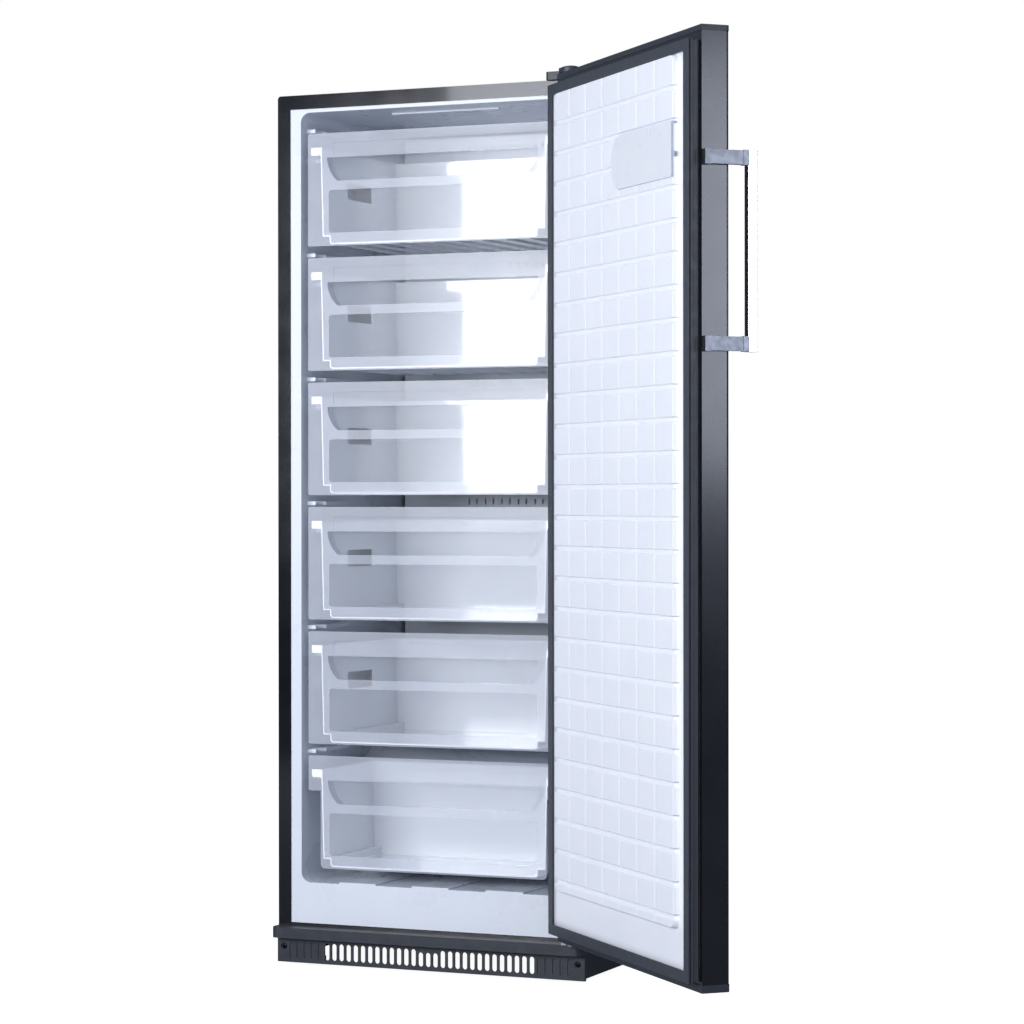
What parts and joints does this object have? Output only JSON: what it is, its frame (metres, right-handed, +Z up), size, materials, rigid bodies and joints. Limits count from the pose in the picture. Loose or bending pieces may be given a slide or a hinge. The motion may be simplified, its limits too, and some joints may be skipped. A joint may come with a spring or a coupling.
{
  "type": "upright freezer",
  "caption": "Upright freezer with a side-hinged insulated door standing open, a side bar handle, and a stack of clear-fronted pull-out drawers in a white liner.",
  "frame": {"origin": "on the floor, below the middle of the cabinet's front flange", "axes": "+X to the right as seen from the front (the hinge side), +Y into the cabinet, +Z up. The door stands open 134.25 degrees at rest."},
  "size_m": [1.0539, 1.0617, 1.576],
  "materials": {
    "body_paint": "satin",
    "dark_plastic": "matte",
    "base_steel": "satin",
    "zinc": "satin",
    "foam": "matte",
    "white_plastic": "gloss",
    "clear_plastic": "gloss",
    "bare_aluminium": "satin",
    "heater_glass": "gloss",
    "black_screw": "satin",
    "filter_mesh": "matte",
    "black_rubber": "matte",
    "black_paint": "gloss",
    "black_plastic": "matte",
    "copper": "satin",
    "seal": "matte",
    "handle_metal": "polished"
  },
  "bodies": {
    "cabinet": {"cabinet_shell": "body_paint", "cabinet_back": "body_paint", "back_screws": "zinc", "cabinet_foam": "foam", "inner_liner": "white_plastic", "duct_panel": "white_plastic", "evaporator_fins": "bare_aluminium", "evaporator_tube": "bare_aluminium", "fan_motor": "dark_plastic", "defrost_heater": "heater_glass", "base_frame": "base_steel", "bay_bulkhead": "zinc", "plinth_grille": "dark_plastic", "plinth_screws": "black_screw", "roller_axles": "zinc", "top_hinge": "zinc", "top_hinge_screws": "zinc", "hinge_cover": "dark_plastic", "bottom_hinge": "zinc", "bottom_hinge_screws": "zinc", "compressor": "black_paint", "compressor_grommets": "black_rubber", "relay_box": "black_plastic", "drip_tray": "black_plastic", "filter_drier": "copper", "suction_tube": "copper", "discharge_tube": "copper", "rear_cover": "base_steel", "rear_cover_screws": "zinc", "cord_gland": "black_rubber"},
    "door": {"door_panel": "body_paint", "door_top_cap": "dark_plastic", "door_bottom_cap": "dark_plastic", "door_foam": "foam", "door_liner": "white_plastic", "door_gasket": "seal", "door_bushes": "white_plastic", "handle_bar": "handle_metal", "handle_bracket_upper": "handle_metal", "handle_bracket_lower": "handle_metal", "handle_screws": "zinc"},
    "drawer_1": {"drawer_1_tub": "white_plastic", "drawer_1_front": "clear_plastic"},
    "drawer_2": {"drawer_2_tub": "white_plastic", "drawer_2_front": "clear_plastic"},
    "drawer_3": {"drawer_3_tub": "white_plastic", "drawer_3_front": "clear_plastic"},
    "drawer_4": {"drawer_4_tub": "white_plastic", "drawer_4_front": "clear_plastic"},
    "drawer_5": {"drawer_5_tub": "white_plastic", "drawer_5_front": "clear_plastic"},
    "drawer_6": {"drawer_6_tub": "white_plastic", "drawer_6_front": "clear_plastic"},
    "foot_left": {"foot_left": "black_rubber"},
    "foot_right": {"foot_right": "black_rubber"},
    "roller_left": {"roller_left": "dark_plastic"},
    "roller_right": {"roller_right": "dark_plastic"},
    "fan": {"fan_blade": "white_plastic"}
  },
  "joints": [
    {"name": "door_hinge", "type": "hinge", "parent": "cabinet", "child": "door", "pos_m": [0.288, -0.042, 0], "axis": [0, 0, 1], "range_deg": [-134.25, 3]},
    {"name": "drawer_1_slide", "type": "slide", "parent": "cabinet", "child": "drawer_1", "axis": [0, -1, 0], "range_m": [0, 0.23]},
    {"name": "drawer_2_slide", "type": "slide", "parent": "cabinet", "child": "drawer_2", "axis": [0, -1, 0], "range_m": [0, 0.23]},
    {"name": "drawer_3_slide", "type": "slide", "parent": "cabinet", "child": "drawer_3", "axis": [0, -1, 0], "range_m": [0, 0.23]},
    {"name": "drawer_4_slide", "type": "slide", "parent": "cabinet", "child": "drawer_4", "axis": [0, -1, 0], "range_m": [0, 0.23]},
    {"name": "drawer_5_slide", "type": "slide", "parent": "cabinet", "child": "drawer_5", "axis": [0, -1, 0], "range_m": [0, 0.23]},
    {"name": "drawer_6_slide", "type": "slide", "parent": "cabinet", "child": "drawer_6", "axis": [0, -1, 0], "range_m": [0, 0.14]},
    {"name": "foot_left_turn", "type": "hinge", "parent": "cabinet", "child": "foot_left", "pos_m": [-0.25, 0.05, 0], "axis": [0, 0, 1], "continuous": true},
    {"name": "foot_right_turn", "type": "hinge", "parent": "cabinet", "child": "foot_right", "pos_m": [0.25, 0.05, 0], "axis": [0, 0, 1], "continuous": true},
    {"name": "roller_left_roll", "type": "hinge", "parent": "cabinet", "child": "roller_left", "pos_m": [-0.239, 0.517, 0.017], "axis": [1, 0, 0], "continuous": true},
    {"name": "roller_right_roll", "type": "hinge", "parent": "cabinet", "child": "roller_right", "pos_m": [0.239, 0.517, 0.017], "axis": [1, 0, 0], "continuous": true},
    {"name": "fan_spin", "type": "hinge", "parent": "cabinet", "child": "fan", "pos_m": [0, 0.426, 1.18], "axis": [0, 1, 0], "continuous": true}
  ]
}
